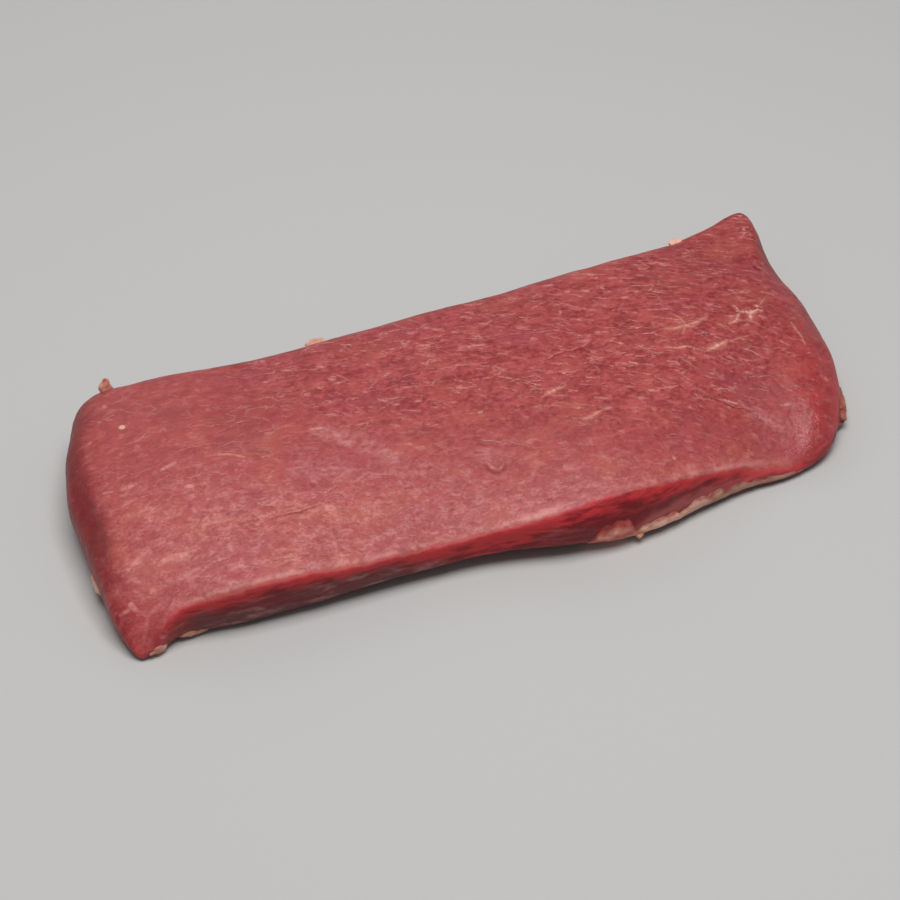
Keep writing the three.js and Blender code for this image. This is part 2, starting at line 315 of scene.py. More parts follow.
def fibre_place(points):
    """Coordinates along and across the grain, which arches over the slab."""
    x, y, z = points.T
    return np.stack((x, y + GRAIN["slope"] * x + GRAIN["bend"] * x ** 2, z), axis=1)


def fold_slope(x):
    """Slope of the grain in the plan."""
    return -(GRAIN["slope"] + 2 * GRAIN["bend"] * x)


# Node helpers


class Nodes:
    """Short calls for building a material's node tree."""

    def __init__(self, name):
        self.material = bpy.data.materials.new(name)
        self.material.use_nodes = True
        self.tree = self.material.node_tree
        self.shader = self.tree.nodes["Principled BSDF"]

    def add(self, kind, inputs=None, **settings):
        node = self.tree.nodes.new(kind)
        for name, value in settings.items():
            setattr(node, name, value)
        for name, value in (inputs or {}).items():
            self.put(node.inputs[name], value)
        return node

    def put(self, socket, value):
        if isinstance(value, bpy.types.NodeSocket):
            self.tree.links.new(value, socket)
        else:
            socket.default_value = value

    def surface(self, values):
        """Sets inputs of the material's shader by their names."""
        for name, value in values.items():
            self.put(self.shader.inputs[name], value)

    def attribute(self, name, output="Fac"):
        return self.add("ShaderNodeAttribute", attribute_name=name).outputs[output]

    def math(self, operation, first, second):
        return self.add("ShaderNodeMath", {0: first, 1: second}, operation=operation).outputs[0]

    plus = partialmethod(math, "ADD")
    minus = partialmethod(math, "SUBTRACT")
    times = partialmethod(math, "MULTIPLY")
    most = partialmethod(math, "MAXIMUM")

    def scale(self, vector, sizes):
        """A vector in millimetres divided by sizes along its three axes."""
        factor = tuple(1 / size for size in sizes)
        return self.add("ShaderNodeVectorMath", {0: vector, 1: factor}, operation="MULTIPLY").outputs[0]

    def noise(self, vector, sizes, detail=2.0, roughness=0.5, distortion=0.0):
        inputs = {"Vector": self.scale(vector, sizes), "Scale": 1.0, "Detail": detail, "Roughness": roughness,
                  "Distortion": distortion}
        return self.add("ShaderNodeTexNoise", inputs).outputs["Fac"]

    def range(self, value, start, end, low=0.0, high=1.0):
        inputs = {"Value": value, "From Min": start, "From Max": end, "To Min": low, "To Max": high}
        return self.add("ShaderNodeMapRange", inputs, interpolation_type="SMOOTHSTEP").outputs[0]

    def mix(self, factor, first, second):
        node = self.add("ShaderNodeMix", data_type="RGBA")
        self.put(node.inputs["Factor"], factor)
        for name, value in (("A", first), ("B", second)):
            socket = next(s for s in node.inputs if s.name == name and s.type == "RGBA")
            self.put(socket, value)
        return next(s for s in node.outputs if s.type == "RGBA")

    def bump(self, height, distance, strength=1.0):
        inputs = {"Height": height, "Distance": distance, "Strength": strength}
        return self.add("ShaderNodeBump", inputs).outputs[0]


def linear(red, green, blue):
    """A colour given as it looks on screen, from 0 to 255, as a shader colour."""
    def curve(value):
        value = value / 255
        return value / 12.92 if value <= 0.04045 else ((value + 0.055) / 1.055) ** 2.4
    return (curve(red), curve(green), curve(blue), 1.0)


# Materials

MEAT_DARK = linear(140, 43, 48)
MEAT_MID = linear(166, 66, 68)
MEAT_LIGHT = linear(186, 84, 84)
MEAT_WARM = linear(184, 88, 76)
MEAT_BROWN = linear(146, 70, 62)
MEAT_COOL = linear(160, 64, 76)
# Painted shade: darker red for the sides that turn away from the light
MEAT_SIDE_SHADE = linear(116, 30, 33)
# Pale pink of membrane, also used as painted sheen on the front and left of the top
MEMBRANE_AND_SHEEN = linear(202, 116, 115)
# Pale pink of painted highlights on crests, glints and the front rim, and of real pale streaks and flecks
CREST_PINK = linear(234, 158, 151)
FILM = linear(212, 150, 148)
PEACH = linear(214, 132, 114)
# Painted shadow in the grooves of folds and creases
GROOVE_SHADOW_RED = linear(126, 30, 37)
# Painted light: a lighter red for the top of the front face, where the scene's light falls weakly
EDGE_PAINTED_LIGHT = linear(238, 112, 110)
EDGE_RED = linear(214, 74, 78)
CUT_RED = linear(192, 52, 57)
# Painted shade: the cut red lower down the front face and on its hollow
CUT_RED_SHADED = linear(124, 26, 34)
# Grey pink silverskin of the underside, darkened by painted shade under the overhang
SILVERSKIN_SHADED = linear(108, 63, 63)
VEIN = linear(232, 170, 160)
FAT = linear(244, 194, 172)
FAT_ORANGE = linear(216, 146, 120)
FLAP_RED = linear(196, 84, 72)
FAT_BROWN_AND_SHADE = linear(126, 74, 60)

# Noise patterns of the meat: coordinates that each follows, sizes along them in millimetres, detail,
# roughness and distortion
MEAT_PATTERNS = {
    "mottle": ("place", (1.5, 1.2, 1.2), 4, 0.6),
    "cells": ("place", (5, 4, 4), 4, 0.6, 0.8),
    "fine": ("place", (0.9, 0.7, 0.7), 3, 0.6),
    "patch": ("place", (3, 2.2, 2.2), 4, 0.65, 0.3),
    "warm": ("place", (13, 10, 10), 3, 0.6),
    "brown": ("fibre", (14, 9, 9), 2),
    "broad": ("fibre", (30, 16, 16), 2),
    "fleck": ("fibre", (4, 2, 2), 4, 0.65),
    "streak": ("place", (9, 40, 1.3), 4, 0.65),
    "blotch": ("place", (7, 4, 2.4), 3, 0.55, 0.3),
}
# Net of fine folds, painted as a highlight along each crest and a shadow along each groove, in millimetres:
# cells along and across the grain (the third size has no effect), how far two patterns bend their borders,
# how far the grooves lie beside the crests
FOLD_CELL = (8, 3.2, 1)
FOLD_BENDS = {"mottle": 1.3, "cells": 4.0}
GROOVE_SHIFT = 0.4
# Where a border ends, as a share of a cell, and how high it stands in the bump
FOLD_BORDER = (0.01, 0.08)
FOLD_BUMP = 0.05
# How ragged the veins are
VEIN_RAGGED = 1.7


class Meat(Nodes):
    """Material of the meat: layers of colour, among them painted highlights, sheen and shade, broken up by
    noise patterns.
    """

    def __init__(self):
        super().__init__("raw_meat")
        self.patterns = {}
        for name, (space, *settings) in MEAT_PATTERNS.items():
            self.patterns[name] = self.noise(self.attribute(space, "Vector"), *settings)
        tone = self.plus(self.times(self.patterns["mottle"], 0.5), self.times(self.patterns["cells"], 0.5))
        folded = self.times(self.share("wrinkled", "fleck", 0.44, 0.6), self.spread("brown", 0.4, 0.58, 0.35))
        # Painted highlight along the crests of the fold net and painted shadow along the grooves beside them
        crest = self.times(folded, self.fold_net(0.0))
        groove = self.times(folded, self.fold_net(GROOVE_SHIFT))
        colour = self.mix(self.range(tone, 0.36, 0.64), MEAT_DARK, MEAT_LIGHT)
        for share, tint in self.layers(tone, crest, groove):
            colour = self.mix(share, colour, tint)
        wet = self.attribute("wet")
        fold = self.times(self.minus(crest, groove), FOLD_BUMP)
        height = self.times(tone, self.plus(self.times(wet, 0.8), 0.8))
        self.surface({
            "Base Color": colour,
            "Roughness": self.minus(self.spread("mottle", 0.3, 0.7, 0.38, 0.52), self.times(wet, 0.18)),
            "Specular IOR Level": self.plus(self.times(wet, 0.3), 0.25),
            "Subsurface Weight": 0.12,
            "Subsurface Radius": (1.0, 0.25, 0.18),
            "Subsurface Scale": 1.0 * MM,
            "Normal": self.bump(self.plus(height, fold), 0.5 * MM),
        })

    def spread(self, pattern, start, end, low=0.0, high=1.0):
        """Low where the pattern is below start, high where it is above end."""
        return self.range(self.patterns[pattern], start, end, low, high)

    def share(self, name, pattern, *limits):
        """Share of a colour that the mesh gives, broken up by a pattern."""
        return self.times(self.attribute(name), self.spread(pattern, *limits))

    def fold_net(self, shift):
        """1 along the wavy borders of the fold cells, shifted across the grain by so many millimetres."""
        bends = [self.times(self.patterns[name], bend) for name, bend in FOLD_BENDS.items()]
        offset = self.add("ShaderNodeCombineXYZ", {"Y": self.plus(self.plus(*bends), shift)}).outputs[0]
        fibre = self.attribute("fibre", "Vector")
        moved = self.add("ShaderNodeVectorMath", {0: fibre, 1: offset}, operation="ADD").outputs[0]
        inputs = {"Vector": self.scale(moved, FOLD_CELL), "Scale": 1.0}
        settings = {"feature": "DISTANCE_TO_EDGE", "voronoi_dimensions": "2D"}
        border = self.add("ShaderNodeTexVoronoi", inputs, **settings).outputs["Distance"]
        return self.range(border, *FOLD_BORDER, 1.0, 0.0)

    def layers(self, tone, crest, groove):
        """Pairs of a share and a colour, from the lean meat outwards."""
        # Membrane and painted sheen towards the front and the left of the top
        pale = self.times(self.share("pale", "fine", 0.36, 0.64, 0.4), self.spread("patch", 0.4, 0.6, 0.4))
        lively = self.minus(1.0, self.attribute("calm"))
        # Painted highlights on crests, wet glints and the front rim, together with real pale streaks and
        # flecks
        highlights_and_flecks = reduce(self.most, (
            self.share("crest", "mottle", 0.35, 0.6, 0.35),
            self.share("wet", "fleck", 0.56, 0.7, 0.0, 0.7),
            self.times(lively, self.spread("fleck", 0.54, 0.74, 0.0, 0.6)),
            self.times(crest, 0.75),
            # Painted highlight and thin fat on the front rim
            self.share("rim_highlight_and_fat", "cells", 0.4, 0.6, 0.4),
        ))
        # Painted shadow along the grooves of the folds and creases
        groove_shadow = self.most(self.attribute("groove"), self.times(groove, 0.7))
        # Painted shade down the cut face, broken up by blotches and streaks
        deep = self.plus(self.spread("blotch", 0.36, 0.64, 0.2, -0.2), self.attribute("deep"))
        deep = self.plus(deep, self.spread("streak", 0.38, 0.62, 0.5, -0.5))
        skin = self.share("skin", "streak", 0.36, 0.58, 0.25)
        vein = self.attribute("vein")
        ragged = self.times(self.minus(self.patterns["mottle"], 0.5), vein)
        vein = self.plus(vein, self.times(ragged, VEIN_RAGGED))
        return (
            (self.attribute("calm"), MEAT_MID),
            (self.spread("brown", 0.5, 0.72, 0.0, 0.35), MEAT_BROWN),
            (self.spread("broad", 0.52, 0.7, 0.0, 0.4), MEAT_COOL),
            (self.spread("warm", 0.5, 0.7, 0.0, 0.5), MEAT_WARM),
            (pale, self.mix(self.spread("warm", 0.46, 0.66, 0.0, 0.5), MEMBRANE_AND_SHEEN, PEACH)),
            (self.times(pale, self.spread("patch", 0.52, 0.7, 0.0, 0.6)), FILM),
            (self.share("film", "mottle", 0.35, 0.6, 0.2), FILM),
            (highlights_and_flecks, CREST_PINK),
            (groove_shadow, GROOVE_SHADOW_RED),
            (self.share("wet", "patch", 0.42, 0.62, 0.75, 0.1), CUT_RED),
            # Painted shade on the sides
            (self.attribute("side"), MEAT_SIDE_SHADE),
            (self.attribute("edge"), self.mix(self.range(tone, 0.38, 0.62), CUT_RED, EDGE_RED)),
            # Painted light on the top of the front face
            (self.attribute("painted_lip_light"), EDGE_PAINTED_LIGHT),
            (self.attribute("cut"), self.mix(deep, CUT_RED, CUT_RED_SHADED)),
            (skin, SILVERSKIN_SHADED),
            (self.times(skin, self.spread("blotch", 0.5, 0.66, 0.0, 0.4)), FILM),
            (self.attribute("glow"), MEMBRANE_AND_SHEEN),
            (self.range(vein, 0.0, 0.4, 0.0, 0.6), PEACH),
            (self.range(vein, 0.35, 0.9), VEIN),
        )


def fat_material():
    nodes = Nodes("fat")
    mottle = nodes.noise(nodes.attribute("place", "Vector"), (4, 2, 2), detail=4, roughness=0.65)
    colour = nodes.mix(nodes.range(mottle, 0.35, 0.7), FAT, FAT_ORANGE)
    # Flap red, brown that is partly painted shade, and on the flap's torn top the shaded cut red
    for name, tint in (("red", FLAP_RED), ("brown", FAT_BROWN_AND_SHADE), ("meat", CUT_RED_SHADED)):
        colour = nodes.mix(nodes.attribute(name), colour, tint)
    nodes.surface({
        "Base Color": colour,
        "Roughness": 0.45,
        "Subsurface Weight": 0.2,
        "Subsurface Radius": (1.0, 0.5, 0.35),
        "Subsurface Scale": 1.2 * MM,
        "Normal": nodes.bump(mottle, 0.4 * MM, strength=0.5),
    })
    return nodes.material


# Mesh helpers


def ring_faces(index):
    right = np.roll(index, -1, axis=1)
    quads = np.stack((index[:-1], right[:-1], right[1:], index[1:]), axis=-1).reshape(-1, 4)
    faces = [list(dict.fromkeys(quad)) for quad in quads.tolist()]
    return [face for face in faces if len(face) > 2]


def new_object(name, data):
    """An object of the scene with its mesh, light or camera."""
    thing = bpy.data.objects.new(name, data)
    bpy.context.scene.collection.objects.link(thing)
    return thing


def new_piece(name, points, faces, material, values):
    """A smooth mesh piece of the object, with points in form millimetres and values at each point."""
    mesh = bpy.data.meshes.new(name)
    mesh.from_pydata(((points + SHIFT) * MM).tolist(), [], faces)
    mesh.shade_smooth()
    for key, value in values.items():
        kind, part = ("FLOAT", "value") if value.ndim == 1 else ("FLOAT_VECTOR", "vector")
        layer = mesh.attributes.new(key, kind, "POINT")
        layer.data.foreach_set(part, value.astype(np.float32).ravel())
    mesh.materials.append(material)
    piece = new_object(name, mesh)
    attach(piece, "root")
    return piece


def vertex_normals(points, faces):
    mesh = bpy.data.meshes.new("normals")
    mesh.from_pydata(points.tolist(), [], faces)
    normals = np.empty(len(points) * 3, np.float32)
    mesh.vertices.foreach_get("normal", normals)
    bpy.data.meshes.remove(mesh)
    return normals.reshape(-1, 3)


# The slab

# Where the red side begins below the top edge along the front: x and rim value
SIDE_START = (
    (-97, 0.26), (-88, 0.38), (-83, 0.49), (-75, 0.49), (-65, 0.37), (-56, 0.37), (-45, 0.43), (-30, 0.43),
    (-20, 0.44), (-9, 0.39), (0, 0.26), (6, 0.13), (16, 0.0), (27, 0.05), (38, 0.18), (51, 0.32), (63, 0.4),
    (76, 0.5),
)
# Where the grey pink skin of the underside begins along the front: x and rim value
SKIN_START = (
    (-90, 0.9), (-79, 0.92), (-66, 0.88), (-54, 0.76), (-40, 0.78), (-28, 0.88), (-14, 1.1), (-3, 1.0),
    (4, 0.66), (13, 0.7), (20, 1.5), (26, 2.2),
)
# Silvery film on the top: half width of each patch in millimetres, strength, pixels along its middle
FILMS = (
    (2.2, 0.65, (318, 431), (340, 436), (360, 444), (378, 450), (392, 456)),
    (2.4, 0.4, (302, 470), (322, 468), (345, 472)),
    (1.6, 0.5, (754, 414), (766, 420), (778, 424)),
)
# Relief over the smooth form: height and sizes of its noise in millimetres, and the noise's seed
RELIEF = {
    "lumps": (0.2, (11, 8, 8), 2),
    "swells": (0.3, (26, 18, 18), 8),
    "grain": (0.05, (7, 2, 2), 1),
    "mottle": (0.06, (2.2, 2.0, 2.0), 3),
    "waves": (0.22, (14, 3.8, 3.8), 4),
    "shoulder": (0.3, (7, 5, 5), 9),
    "streaks": (0.12, (9, 1.5, 1.2), 10),
}
ALONG_GRAIN = ("grain", "waves")
# Extra height of the mottle towards the front and on the wet corner
MOTTLE_FRONT = 0.05
MOTTLE_WET = 0.14

# Fine folds drawn at random by rule: step between their points, how they turn and waver, where they lie
WRINKLES = {
    "seed": 11, "step": 0.5, "fewest": 5, "turn": 0.22, "bend": 0.03, "waver": 1.1, "waver_size": 2.2,
    "ripple_size": 2.5, "stray": 0.08, "inside_rim": -0.2,
}
# Kinds of fold: how many, shortest and longest, depth and half width in millimetres, shares of the crest's
# painted highlight and of the groove's painted shadow
WRINKLE_KINDS = (
    {"count": 70, "lengths": (5, 12), "depth": 0.26, "half_width": 0.2, "pale": (0.4, 0.9), "groove_shadow": 0.6},
    {"count": 110, "lengths": (1.5, 4.5), "depth": 0.16, "half_width": 0.18, "pale": (0.2, 0.7),
     "groove_shadow": 0.45},
)
# Smallest distance between two folds along X and Y
WRINKLE_SPACING = np.array((6.0, 1.8))
# Section of a fold: share of its depth that the crest rises, then widths and offset in millimetres
FOLD = {"crest": 0.6, "crest_width": 0.45, "groove_at": 0.7, "groove_width": 0.5, "end": 0.8, "reach": 3}
# Rim value where the folds end, and a level that all of the top lies above
FOLD_RIM = 0.3
TOP_LEVEL = 4


class Wrinkle:
    """Fine fold along the grain: a line in the plan, with its fullness from 0 to 1 along it."""

    def __init__(self, rng, start, length):
        step = WRINKLES["step"]
        size = WRINKLES["waver_size"]
        x, y = start
        turn = rng.normal(0, WRINKLES["turn"])
        bend = rng.normal(0, WRINKLES["bend"])
        spots = []
        while len(spots) < max(WRINKLES["fewest"], length / step):
            spots.append((x, y))
            waver = WRINKLES["waver"] * noise.noise((x / size, y / size, 7.7))
            angle = math.atan(fold_slope(x)) + turn + waver
            turn = turn + bend * step
            x = x + step * math.cos(angle)
            y = y + step * math.sin(angle)
        self.spots = np.array(spots)
        self.heading = unit(np.gradient(self.spots, axis=0))
        share = np.linspace(0.03, 0.97, len(spots))
        seed = rng.uniform(0, 100)
        ripple = [noise.noise((at * length / WRINKLES["ripple_size"], seed, 0.5)) for at in share]
        self.fullness = np.sin(math.pi * share) ** 0.7 * np.clip(0.75 + 0.8 * np.array(ripple), 0.15, 1)


class Slab:
    """Fine mesh of the meat with its relief and surface values."""

    def __init__(self):
        points, rim, sides = form_rows()
        flat = np.round(points.reshape(-1, 3), 4)
        _, first, index = np.unique(flat, axis=0, return_index=True, return_inverse=True)
        self.faces = ring_faces(index.reshape(rim.shape))
        self.base = flat[first]
        self.rim = rim.ravel()[first]
        self.top = 1 - np.clip(self.rim, 0, 1)
        self.sides = {side: share.ravel()[first] for side, share in sides.items()}
        self.fibre = fibre_place(self.base)
        self.wrinkled = self.wrinkle_share()
        self.wet = fade(self.base[:, 0] - 0.5 * self.base[:, 1], 84, 106) * (1 - fade(self.rim, 0.3, 0.6))
        self.wrinkles = self.draw_wrinkles()
        relief = self.relief() + self.folds()
        self.points = self.base + vertex_normals(self.base, self.faces) * relief[:, None]
        self.tree = BVHTree.FromPolygons(self.points.tolist(), self.faces)
        self.values = self.surface_values()

    def wrinkle_share(self):
        """How wrinkled the top is: most in the middle and at the back right."""
        x, y, _ = self.base.T
        drift = 16 * field(self.base, (34, 22, 22), 5)
        share = fade(x + 1.1 * y + drift, -62, 10) * fade(x + drift, -78, -30)
        share = share * (0.2 + 0.8 * fade(y + 0.5 * drift, -34, -6))
        back_right = 0.7 * fade(x, 50, 80) * fade(y, -25, 0)
        return np.maximum(share, back_right) * self.top

    def draw_wrinkles(self):
        """Pairs of a kind and a wrinkle of that kind."""
        rng = np.random.default_rng(WRINKLES["seed"])
        inner = np.flatnonzero((self.rim < WRINKLES["inside_rim"]) & (self.base[:, 2] > TOP_LEVEL))
        weights = WRINKLES["stray"] + self.wrinkled[inner]
        wrinkles = []
        taken = np.full((1, 2), np.inf)
        for kind in WRINKLE_KINDS:
            for start in rng.choice(inner, kind["count"], p=weights / weights.sum()):
                place = self.base[start, :2] + rng.uniform(-0.5, 0.5, 2)
                wrinkle = Wrinkle(rng, place, rng.uniform(*kind["lengths"]))
                middle = wrinkle.spots[len(wrinkle.spots) // 2]
                if np.linalg.norm((taken - middle) / WRINKLE_SPACING, axis=1).min() < 1:
                    continue
                taken = np.vstack((taken, middle))
                wrinkles.append((kind, wrinkle))
        return wrinkles

    def folds(self):
        """Height of the folds: a crest along each wrinkle and a groove on its front side."""
        spots = np.vstack([wrinkle.spots for _, wrinkle in self.wrinkles])
        headings = np.vstack([wrinkle.heading for _, wrinkle in self.wrinkles])
        depths = np.concatenate([kind["depth"] * wrinkle.fullness for kind, wrinkle in self.wrinkles])
        tree = KDTree(len(spots))
        for i, (x, y) in enumerate(spots):
            tree.insert((x, y, 0), i)
        tree.balance()
        height = np.zeros(len(self.base))
        for i in np.flatnonzero((self.rim < FOLD_RIM) & (self.base[:, 2] > TOP_LEVEL)):
            x, y, _ = self.base[i]
            _, nearest, distance = tree.find((x, y, 0))
            if distance > FOLD["reach"]:
                continue
            away = self.base[i, :2] - spots[nearest]
            along = away @ headings[nearest]
            across = headings[nearest, 0] * away[1] - headings[nearest, 1] * away[0]
            profile = FOLD["crest"] * bell(across, FOLD["crest_width"])
            profile = profile - bell(across + FOLD["groove_at"], FOLD["groove_width"])
            height[i] = depths[nearest] * profile * bell(along, FOLD["end"])
        return height

    def relief(self):
        """Height of the relief over the smooth form, without the folds."""
        front = self.sides["front"]
        share = {
            "waves": self.wrinkled,
            "shoulder": front * bell(self.rim - 0.5, 0.4),
            "streaks": front * fade(self.rim, 0.6, 1),
        }
        extra = {"mottle": MOTTLE_FRONT * fade(-self.base[:, 1], -10, 30) + MOTTLE_WET * self.wet}
        relief = np.zeros(len(self.base))
        for name, (height, sizes, seed) in RELIEF.items():
            place = self.fibre if name in ALONG_GRAIN else self.base
            relief = relief + (height * share.get(name, 1) + extra.get(name, 0)) * field(place, sizes, seed)
        return relief * (1 - fade(self.rim, 1.4, 2))

    def surface_values(self):
        """Shares of the colours at each point."""
        x, y, _ = self.base.T
        front = fade(self.sides["front"], 0.15, 0.6) * (1 - fade(x, 70, 84)) * fade(x, -99, -84)
        corner = fade(x, 66, 84) * (1 - fade(y, -20, 5))
        lobe = bell(np.hypot(x + 98, y + 44), 12)
        rim = self.rim + 0.1 * field(self.base, (7, 4, 4), 6) + 0.06 * field(self.base, (2, 2, 2), 16)
        below = rim - np.interp(x, *np.array(SIDE_START).T)
        skin_start = np.interp(x, *np.array(SKIN_START).T)
        right = fade(self.sides["right"], 0.1, 0.5) * (1 - fade(y, 10, 40))
        # Painted shade: the left, back and right sides are darkened as they turn down from the top, and the
        # top towards the right end
        side = 0.85 * (1 - fade(self.sides["front"], 0.1, 0.5))
        side = side * (1 - 0.6 * fade(-y, 18, 36) * fade(-x, 60, 90)) * fade(rim - 0.3 * right, 0.05, 0.8)
        left = fade(self.sides["left"], 0.2, 0.6)
        side = side * (1 - 0.4 * left * fade(rim, 0.65, 0.85)) * (1 - 0.8 * corner)
        # Paler towards the front and the left of the top: membrane, and painted sheen where the top tilts to
        # the light
        pale = 0.85 * self.top * fade(-y - 0.25 * x + 12 * field(self.base, (26, 18, 18), 7), 2, 52)
        pale_left = 0.2 * self.top * fade(-x + 10 * field(self.base, (20, 14, 14), 17), 40, 90)
        # Painted highlight, partly thin fat: a pale band just above the top edge of the front, strongest at
        # the left
        rim_highlight_and_fat = 0.9 - 0.8 * fade(x, -2, 10) + 0.5 * bell(x - 50, 18) - 0.4 * bell(x + 20, 14)
        skin = (1 - 0.5 * fade(x, -8, 2)) * (1 - 0.4 * bell(x + 6, 14))
        corner_edge = 0.6 * corner * fade(rim, 0.35, 0.95)
        corner_cut = 0.9 * corner * fade(rim, 0.65, 1)
        return {
            "fibre": self.fibre,
            "place": self.base,
            "side": side + 0.12 * self.top * fade(x, 60, 90),
            "edge": np.maximum.reduce((front * fade(below, -0.05, 0.12), corner_edge, 0.2 * lobe)),
            "cut": np.maximum(front * fade(below + 0.12 * bell(x - 24, 24), 0.03, 0.3), corner_cut),
            # Painted light along the top of the red front face at the left
            "painted_lip_light": 0.65 * front * (1 - fade(x, -12, 6)) * bell(below - 0.02, 0.08),
            "glow": 0.5 * front * self.above_ribbon(),
            # Painted shade: darker further down the front face and around x 24 on the hollow face, lighter
            # around x -12
            "deep": fade(below, 0.1, 0.7) + 0.3 * bell(x - 24, 20) - 0.6 * bell(x + 12, 20),
            "skin": front * skin * fade(rim - skin_start, -0.1, 0.16),
            "rim_highlight_and_fat": front * rim_highlight_and_fat * bell(below + 0.16, 0.14),
            "wet": self.wet,
            "film": self.film_share(),
            "wrinkled": self.top * np.maximum(self.wrinkled, 0.5 - 0.25 * fade(x, -40, 0)),
            "calm": 0.5 * self.top * (1 - fade(self.wrinkled, 0, 0.7)),
            "pale": np.maximum(pale, pale_left) * (1 - 0.6 * lobe),
            **{mark: np.zeros(len(x)) for mark in ("crest", "groove", "vein")},
        }

    def above_ribbon(self):
        """How near a place is to the upper edge of the ribbon of fat, from 0 to 1."""
        strip = FACE_FAT[0]
        x, _, z = self.base.T
        share = np.clip((x - strip["start"]) / (strip["end"] - strip["start"]), 0, 1)
        full = strip_fullness(strip, share)
        ragged = field(self.base, (3, 2, 2), 14)
        return full * bell(z - strip["low"] - strip["height"] * full - 0.6 + ragged, 1.5)

    def film_share(self):
        """How much of a thin silvery film lies on the top, along the lines where it shows."""
        share = np.zeros(len(self.base))
        ragged = field(self.fibre, (5, 1.6, 1.6), 12) + 0.6 * field(self.base, (1.6, 1.2, 1.2), 13)
        for half_width, strength, *pixels in FILMS:
            spots = surface_line(self.tree, pixels, FILM_STEP)
            away = np.full(len(self.base), np.inf)
            for spot in spots:
                away = np.minimum(away, np.linalg.norm(self.base - spot, axis=1))
            share = np.maximum(share, strength * bell(away, half_width) * fade(ragged, -0.7, 0.2))
        return share

    def build(self, material):
        piece = new_piece("lamb_loin_meat", self.points, self.faces, material, self.values)
        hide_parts("lamb_loin")


# Lines on the surface


def camera_place():
    azimuth = math.radians(CAMERA_AZIMUTH)
    elevation = math.radians(CAMERA_ELEVATION)
    back = np.array((
        math.sin(azimuth) * math.cos(elevation),
        -math.cos(azimuth) * math.cos(elevation),
        math.sin(elevation),
    ))
    return CAMERA_AIM + CAMERA_DISTANCE * back, back


def land(tree, pixel):
    """Place on the surface that a pixel of the photograph shows, in millimetres."""
    place, back = camera_place()
    right = np.cross((0, 0, 1), back)
    right = right / np.linalg.norm(right)
    up = np.cross(back, right)
    scale = PHOTO_SIZE * CAMERA_LENS / CAMERA_SENSOR
    middle = PHOTO_SIZE / 2
    ray = right * (pixel[0] - middle) / scale + up * (middle - pixel[1]) / scale - back
    spot = tree.ray_cast(Vector(place), Vector(ray))[0]
    if spot is None:
        raise ValueError(f"Pixel {pixel} misses the slab")
    return np.array(spot)


# Cross sections of a line: offset in half widths, height in millimetres, shares of vein, crest and groove.
# On folds and creases the crest is a painted highlight and the groove a painted shadow; on streaks the crest
# is a pale colour
VEIN_SECTION = (
    (-4.4, -0.04, 0, 0, 0), (-2.4, 0.01, 0.16, 0, 0), (-1.2, 0.02, 0.34, 0, 0), (-0.5, 0.04, 0.75, 0, 0),
    (0, 0.06, 1, 0, 0), (0.5, 0.04, 0.75, 0, 0), (1.2, 0.02, 0.34, 0, 0), (2.4, 0.01, 0.16, 0, 0),
    (4.4, -0.04, 0, 0, 0),
)
STREAK_SECTION = (
    (-2.4, -0.04, 0, 0, 0), (-1.2, 0.01, 0, 0.55, 0), (0, 0.04, 0.3, 1, 0), (1.2, 0.01, 0, 0.55, 0),
    (2.4, -0.04, 0, 0, 0),
)
FOLD_SECTION = (
    (-4.4, -0.02, 0, 0, 0), (-3.2, 0.01, 0, 0, 0.55), (-2, 0.015, 0, 0, 1), (-0.9, 0.02, 0, 0.2, 0.4),
    (0, 0.03, 0, 1, 0), (0.8, 0.02, 0, 0.45, 0), (1.8, -0.02, 0, 0, 0),
)
# Distance between the points of a film, a vein and any other line, in millimetres
FILM_STEP = 0.5
VEIN_STEP = 0.3
LINE_STEP = 0.4
# How far veins and creases waver, the size of the noise that they follow, and its seed for X
VEIN_WAVER = (0.2, 1.2, 50)
CREASE_WAVER = (0.5, 2.2, 51)
# Side branches of a vein: points of the vein for each, points of a branch, shortest and longest, spread of
# their direction, half width, share of the vein's paleness
BRANCH = {"spacing": 8, "points": 8, "lengths": (1, 3), "spread": 0.7, "half_width": 0.25, "pale": 0.7}
# Painted highlight on a crease's edge and painted shadow in its groove
CREASE_HIGHLIGHT = 0.6
CREASE_SHADOW = 0.8
# Seeds of the painted highlights of the wrinkles and of the ragged lines
HIGHLIGHT_SEED = 3
LINES_SEED = 5


class Lines:
    """Thin strips on the slab that share its material and carry finer lines: pale veins and streaks, painted
    highlights and painted shadows.
    """

    def __init__(self, slab):
        self.slab = slab
        self.points = []
        self.owners = []
        self.faces = []
        self.shades = []

    def add(self, spots, fullness, half_width, section, vein, crest, groove):
        """Adds a strip along spots near the surface, as wide and as strong as its fullness allows."""
        along = unit(np.gradient(spots, axis=0))
        strength = np.array((vein, crest, groove))
        rows = []
        for spot, heading, full in zip(spots, along, fullness):
            hit, normal, _, _ = self.slab.tree.find_nearest(Vector(spot))
            across = np.cross(np.array(normal), heading)
            row = []
            for offset, height, *shares in section:
                aim = np.array(hit) + across * offset * half_width * (0.5 + 0.5 * full)
                place, facing, owner, _ = self.slab.tree.find_nearest(Vector(aim))
                row.append(len(self.points))
                lift = height * full if height > 0 else height
                self.points.append(np.array(place) + np.array(facing) * lift)
                self.owners.append(owner)
                self.shades.append(strength * np.array(shares) * full)
            rows.append(row)
        for row, following in zip(rows, rows[1:]):
            for i in range(len(row) - 1):
                self.faces.append((row[i], following[i], following[i + 1], row[i + 1]))

    def build(self, name, material):
        owners = [self.slab.faces[owner] for owner in self.owners]
        points = np.array(self.points)
        values = {}
        for key, value in self.slab.values.items():
            values[key] = np.array([value[face].mean(axis=0) for face in owners])
        values["place"] = points
        values["fibre"] = fibre_place(points)
        values["vein"], values["crest"], values["groove"] = np.clip(self.shades, 0, 1).T
        new_piece(name, points, self.faces, material, values)


